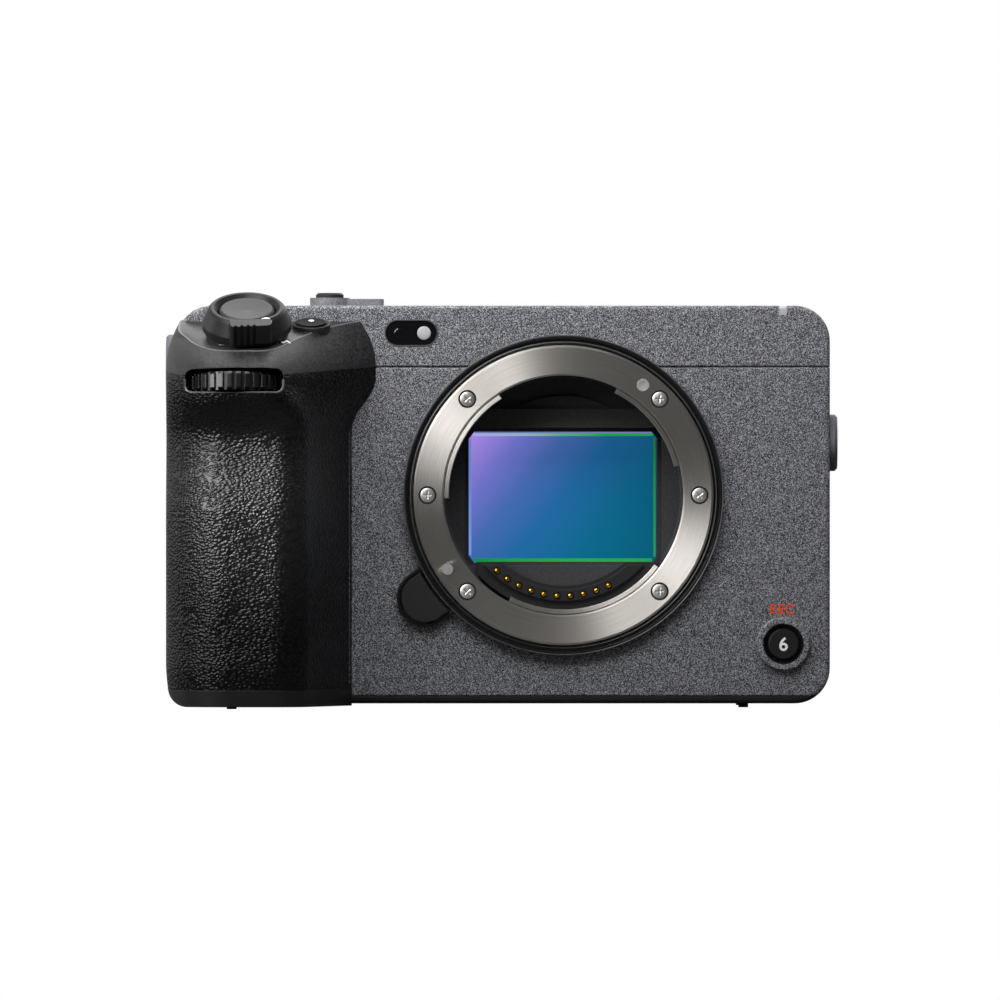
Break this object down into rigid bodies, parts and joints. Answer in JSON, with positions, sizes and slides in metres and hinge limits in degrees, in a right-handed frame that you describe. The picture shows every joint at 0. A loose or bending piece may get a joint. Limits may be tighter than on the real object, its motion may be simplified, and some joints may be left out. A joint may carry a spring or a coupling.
{
  "type": "cinema camera",
  "caption": "Compact full-frame cinema camera body without a lens: bayonet mount with its sensor behind, leather hand grip with dial and lever, swing-out monitor and threaded bosses.",
  "frame": {"origin": "mouth of the tripod socket in the underside, below the image plane and the lens axis", "axes": "-Y points out of the lens mount, -Z out of the tripod socket, +X to the right of the front view, which is the operator's left"},
  "size_m": [0.1299, 0.0845, 0.0802],
  "materials": {
    "body_paint": "fine speckled charcoal paint, matte",
    "black_plastic": "satin black moulded plastic",
    "grip_leather": "black pebbled grip leather",
    "stick_rubber": "matte rubber with small dimples",
    "switch_metal": "grey satin paint",
    "mount_steel": "turned stainless steel, brushed round the axis",
    "screw_steel": "bright screw steel",
    "gold_contact": "gold-plated contacts",
    "chamber_black": "light-absorbing flocked black",
    "sensor_silicon": "iridescent blue-violet coated silicon",
    "cover_glass": "clear filter glass with a faint coating",
    "window_dark": "smoked glossy window",
    "tally_lens": "milky lamp lens",
    "cast_alloy": "die-cast alloy, sand-blasted",
    "board_green": "printed circuit board",
    "inner_plastic": "dark grey moulded plastic"
  },
  "bodies": {
    "camera": {"accessory_shoe": "screw_steel", "base_plate": "black_plastic", "battery": "inner_plastic", "battery_chamber": "inner_plastic", "card_reader": "black_plastic", "chassis": "cast_alloy", "contact_block": "black_plastic", "dial_axle": "screw_steel", "fan_housing": "inner_plastic", "front_cover": "body_paint", "grip_base": "black_plastic", "grip_cap": "black_plastic", "grip_shell": "grip_leather", "left_cover": "body_paint", "light_chamber": "chamber_black", "main_board": "board_green", "monitor_hinge": "switch_metal", "mount_bezel": "black_plastic", "mount_ring": "mount_steel", "rear_cover": "body_paint", "remote_window": "window_dark", "right_cover": "body_paint", "screws": "screw_steel", "shutter_frame": "chamber_black", "sockets": "black_plastic", "stabiliser_base": "cast_alloy", "tally_lamp": "tally_lens", "thread_bushes": "screw_steel", "top_cover": "body_paint"},
    "contact_pins": {"contact_pins": "gold_contact"},
    "lock_pin": {"lock_pin": "screw_steel"},
    "release_button": {"release_button": "black_plastic"},
    "shutter_blade_1": {"shutter_blade_1": "chamber_black"},
    "shutter_blade_2": {"shutter_blade_2": "chamber_black"},
    "shutter_blade_3": {"shutter_blade_3": "chamber_black"},
    "cross_slide": {"stabiliser_slide": "cast_alloy"},
    "sensor": {"sensor_carriage": "cast_alloy", "image_sensor": "sensor_silicon", "sensor_glass": "cover_glass"},
    "fan_rotor": {"fan_rotor": "inner_plastic"},
    "battery_door": {"battery_door": "black_plastic"},
    "battery_latch": {"battery_latch": "black_plastic"},
    "card_door": {"card_door": "body_paint"},
    "port_door_upper": {"port_door_upper": "body_paint"},
    "port_door_lower": {"port_door_lower": "body_paint"},
    "zoom_lever": {"zoom_lever": "black_plastic"},
    "shutter_button": {"shutter_button": "black_plastic"},
    "front_dial": {"front_dial": "black_plastic"},
    "grip_button": {"grip_button": "black_plastic"},
    "rec_button": {"rec_button": "black_plastic"},
    "power_switch": {"power_switch": "switch_metal"},
    "front_button": {"front_button": "black_plastic"},
    "monitor": {"monitor_case": "black_plastic", "monitor_glass": "window_dark"},
    "control_wheel": {"control_wheel": "black_plastic"},
    "wheel_button": {"wheel_button": "black_plastic"},
    "joystick": {"joystick": "stick_rubber"},
    "menu_button": {"menu_button": "black_plastic"},
    "play_button": {"play_button": "black_plastic"},
    "rear_dial": {"rear_dial": "black_plastic"}
  },
  "joints": [
    {"name": "contact_pins_press", "type": "slide", "parent": "camera", "child": "contact_pins", "axis": [0, 1, 0], "range_m": [0, 0.0004], "stiffness_N_per_m": 400, "springref_m": -0.0004},
    {"name": "release_button_press", "type": "slide", "parent": "camera", "child": "release_button", "axis": [0, 1, 0], "range_m": [0, 0.0013], "stiffness_N_per_m": 400, "springref_m": -0.0004},
    {"name": "lock_pin_slide", "type": "slide", "parent": "camera", "child": "lock_pin", "axis": [0, 1, 0], "range_m": [0, 0.0013], "stiffness_N_per_m": 400, "springref_m": -0.0004},
    {"name": "shutter_blade_1_slide", "type": "slide", "parent": "camera", "child": "shutter_blade_1", "axis": [0, 0, -1], "range_m": [0, 0.0288]},
    {"name": "shutter_blade_2_slide", "type": "slide", "parent": "camera", "child": "shutter_blade_2", "axis": [0, 0, -1], "range_m": [0, 0.0193]},
    {"name": "shutter_blade_3_slide", "type": "slide", "parent": "camera", "child": "shutter_blade_3", "axis": [0, 0, -1], "range_m": [0, 0.0097]},
    {"name": "sensor_shift_z", "type": "slide", "parent": "camera", "child": "cross_slide", "axis": [0, 0, 1], "range_m": [-0.0015, 0.0015], "stiffness_N_per_m": 1500},
    {"name": "sensor_shift_x", "type": "slide", "parent": "cross_slide", "child": "sensor", "axis": [1, 0, 0], "range_m": [-0.0015, 0.0015], "stiffness_N_per_m": 1500},
    {"name": "fan_spin", "type": "hinge", "parent": "camera", "child": "fan_rotor", "pos_m": [0.005, 0.0118, 0.033], "axis": [0, 1, 0], "continuous": true},
    {"name": "battery_door_hinge", "type": "hinge", "parent": "camera", "child": "battery_door", "pos_m": [-0.0598, 0.0114, 0.0011], "axis": [1, 0, 0], "range_deg": [0, 95]},
    {"name": "battery_latch_slide", "type": "slide", "parent": "battery_door", "child": "battery_latch", "axis": [1, 0, 0], "range_m": [0, 0.0032]},
    {"name": "card_door_hinge", "type": "hinge", "parent": "camera", "child": "card_door", "pos_m": [-0.0745, 0.0243, 0.037], "axis": [0, 0, -1], "range_deg": [0, 110]},
    {"name": "port_door_upper_hinge", "type": "hinge", "parent": "camera", "child": "port_door_upper", "pos_m": [0.0513, 0, 0.0535], "axis": [0, 0, -1], "range_deg": [0, 120]},
    {"name": "port_door_lower_hinge", "type": "hinge", "parent": "camera", "child": "port_door_lower", "pos_m": [0.0513, 0, 0.02575], "axis": [0, 0, -1], "range_deg": [0, 120]},
    {"name": "zoom_lever_turn", "type": "hinge", "parent": "camera", "child": "zoom_lever", "pos_m": [-0.06075, -0.028, 0.07615], "axis": [0, -0.4226, 0.9063], "range_deg": [-12, 12], "stiffness_Nm_per_rad": 0.02},
    {"name": "shutter_button_press", "type": "slide", "parent": "camera", "child": "shutter_button", "axis": [0, 0.4226, -0.9063], "range_m": [0, 0.0012], "stiffness_N_per_m": 500, "springref_m": -0.0004},
    {"name": "front_dial_turn", "type": "hinge", "parent": "camera", "child": "front_dial", "pos_m": [-0.063, -0.0316, 0.0607], "axis": [0, 0.1392, 0.9903], "continuous": true},
    {"name": "grip_button_press", "type": "slide", "parent": "camera", "child": "grip_button", "axis": [0, 0.284, -0.9588], "range_m": [0, 0.0006], "stiffness_N_per_m": 400, "springref_m": -0.0004},
    {"name": "rec_button_press", "type": "slide", "parent": "camera", "child": "rec_button", "axis": [0, 0, -1], "range_m": [0, 0.0008], "stiffness_N_per_m": 400, "springref_m": -0.0004},
    {"name": "power_switch_turn", "type": "hinge", "parent": "camera", "child": "power_switch", "pos_m": [-0.0453, 0.014, 0.0774], "axis": [0, 0, 1], "range_deg": [0, 35]},
    {"name": "front_button_press", "type": "slide", "parent": "camera", "child": "front_button", "axis": [0, 1, 0], "range_m": [0, 0.0007], "stiffness_N_per_m": 400, "springref_m": -0.0004},
    {"name": "monitor_swing", "type": "hinge", "parent": "camera", "child": "monitor", "pos_m": [0.048, 0.037, 0.03975], "axis": [0, 0, -1], "range_deg": [0, 176]},
    {"name": "control_wheel_turn", "type": "hinge", "parent": "camera", "child": "control_wheel", "pos_m": [-0.0505, 0.033, 0.026], "axis": [0, 1, 0], "continuous": true},
    {"name": "wheel_button_press", "type": "slide", "parent": "camera", "child": "wheel_button", "axis": [0, -1, 0], "range_m": [0, 0.0005], "stiffness_N_per_m": 400, "springref_m": -0.0004},
    {"name": "joystick_tilt", "type": "hinge", "parent": "camera", "child": "joystick", "pos_m": [-0.044, 0.032, 0.048], "axis": [1, 0, 0], "range_deg": [-7, 7], "stiffness_Nm_per_rad": 0.01},
    {"name": "menu_button_press", "type": "slide", "parent": "camera", "child": "menu_button", "axis": [0, -1, 0], "range_m": [0, 0.0005], "stiffness_N_per_m": 400, "springref_m": -0.0004},
    {"name": "play_button_press", "type": "slide", "parent": "camera", "child": "play_button", "axis": [0, -1, 0], "range_m": [0, 0.0005], "stiffness_N_per_m": 400, "springref_m": -0.0004},
    {"name": "rear_dial_turn", "type": "hinge", "parent": "camera", "child": "rear_dial", "pos_m": [-0.058, 0.0274, 0.0695], "axis": [0, 0, 1], "continuous": true}
  ],
  "couplings": [
    {"joint": "lock_pin_slide", "follows": "release_button_press", "ratio": 1},
    {"joint": "shutter_blade_2_slide", "follows": "shutter_blade_1_slide", "ratio": 0.6667},
    {"joint": "shutter_blade_3_slide", "follows": "shutter_blade_1_slide", "ratio": 0.3333}
  ]
}
